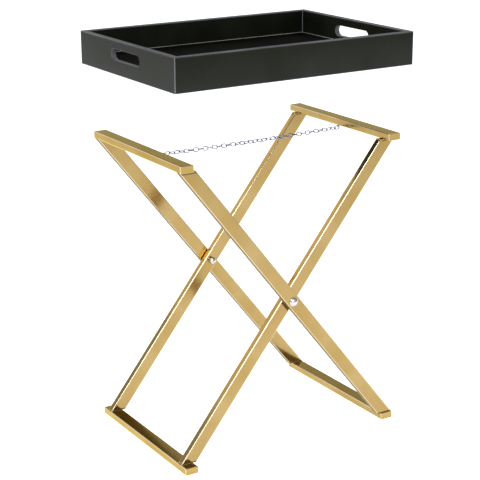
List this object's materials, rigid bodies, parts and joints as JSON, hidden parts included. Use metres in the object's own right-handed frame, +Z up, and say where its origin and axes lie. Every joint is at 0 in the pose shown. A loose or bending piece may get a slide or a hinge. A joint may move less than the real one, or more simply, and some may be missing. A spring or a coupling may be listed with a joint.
{
  "type": "tray table",
  "caption": "Folding tray table: a lift-off leatherette serving tray with slot handles, raised above an open X stand of polished gilt tube held by a link chain.",
  "frame": {"origin": "on the floor, midway between the four feet of the open stand", "axes": "+Z up, +X along the tray's long side towards the right bar, +Y along the bars towards the rear"},
  "size_m": [0.572, 0.4, 0.876],
  "materials": {
    "gilt_tube": "polished gilt plating",
    "steel": "polished nickel plated steel",
    "leatherette": "satin black, fine grain",
    "board": "raw fibreboard core"
  },
  "bodies": {
    "tray": {"tray_wrap": "leatherette", "tray_front_board": "board", "tray_back_board": "board", "tray_left_board": "board", "tray_right_board": "board", "tray_base_board": "board", "tray_floor_lining": "leatherette"},
    "pivot": {"front_pivot_bolt": "steel", "front_pivot_washer": "steel", "front_cap_nut": "steel", "rear_pivot_bolt": "steel", "rear_pivot_washer": "steel", "rear_cap_nut": "steel"},
    "outer_frame": {"outer_top_bar": "gilt_tube", "outer_foot_bar": "gilt_tube", "outer_top_front_cap": "gilt_tube", "outer_top_rear_cap": "gilt_tube", "outer_foot_front_cap": "gilt_tube", "outer_foot_rear_cap": "gilt_tube", "outer_front_leg": "gilt_tube", "outer_rear_leg": "gilt_tube", "left_chain_eye": "steel"},
    "inner_frame": {"inner_top_bar": "gilt_tube", "inner_foot_bar": "gilt_tube", "inner_top_front_cap": "gilt_tube", "inner_top_rear_cap": "gilt_tube", "inner_foot_front_cap": "gilt_tube", "inner_foot_rear_cap": "gilt_tube", "inner_front_leg": "gilt_tube", "inner_rear_leg": "gilt_tube", "right_chain_eye": "steel"},
    "chain_left": {"chain_left_half": "steel"},
    "chain_right": {"chain_right_half": "steel"},
    "left_end_link": {"left_end_link": "steel"},
    "right_end_link": {"right_end_link": "steel"},
    "chain_middle": {"chain_middle_link": "steel"}
  },
  "joints": [
    {"name": "tray_lift", "type": "slide", "parent": "tray", "child": "pivot", "axis": [0, 0, -1], "range_m": [-0.0625, 0]},
    {"name": "outer_frame_fold", "type": "hinge", "parent": "pivot", "child": "outer_frame", "pos_m": [0, 0, 0.33], "axis": [0, 1, 0], "range_deg": [0, 35.8], "deforming": ["chain_left_half", "chain_right_half", "chain_middle_link"]},
    {"name": "inner_frame_fold", "type": "hinge", "parent": "pivot", "child": "inner_frame", "pos_m": [0, 0, 0.33], "axis": [0, -1, 0], "range_deg": [0, 35.8]},
    {"name": "left_chain_swing", "type": "hinge", "parent": "outer_frame", "child": "chain_left", "pos_m": [-0.243, 0, 0.6398], "axis": [0, 1, 0], "range_deg": [0, 51]},
    {"name": "right_chain_swing", "type": "hinge", "parent": "inner_frame", "child": "chain_right", "pos_m": [0.243, 0, 0.6398], "axis": [0, -1, 0], "range_deg": [0, 51]},
    {"name": "left_end_link_rock", "type": "hinge", "parent": "chain_left", "child": "left_end_link", "pos_m": [-0.243, 0, 0.6398], "axis": [0, 1, 0], "range_deg": [0, 4]},
    {"name": "right_end_link_rock", "type": "hinge", "parent": "chain_right", "child": "right_end_link", "pos_m": [0.243, 0, 0.6398], "axis": [0, -1, 0], "range_deg": [0, 4]},
    {"name": "middle_link_rock", "type": "hinge", "parent": "chain_left", "child": "chain_middle", "pos_m": [-0.0054, 0, 0.6368], "axis": [0, 1, 0], "range_deg": [-4, 4]}
  ],
  "couplings": [
    {"joint": "inner_frame_fold", "follows": "outer_frame_fold", "ratio": 1},
    {"joint": "left_chain_swing", "follows": "outer_frame_fold", "ratio": 1.42},
    {"joint": "right_chain_swing", "follows": "outer_frame_fold", "ratio": 1.42},
    {"joint": "left_end_link_rock", "follows": "outer_frame_fold", "ratio": 0.11},
    {"joint": "right_end_link_rock", "follows": "outer_frame_fold", "ratio": 0.11}
  ]
}
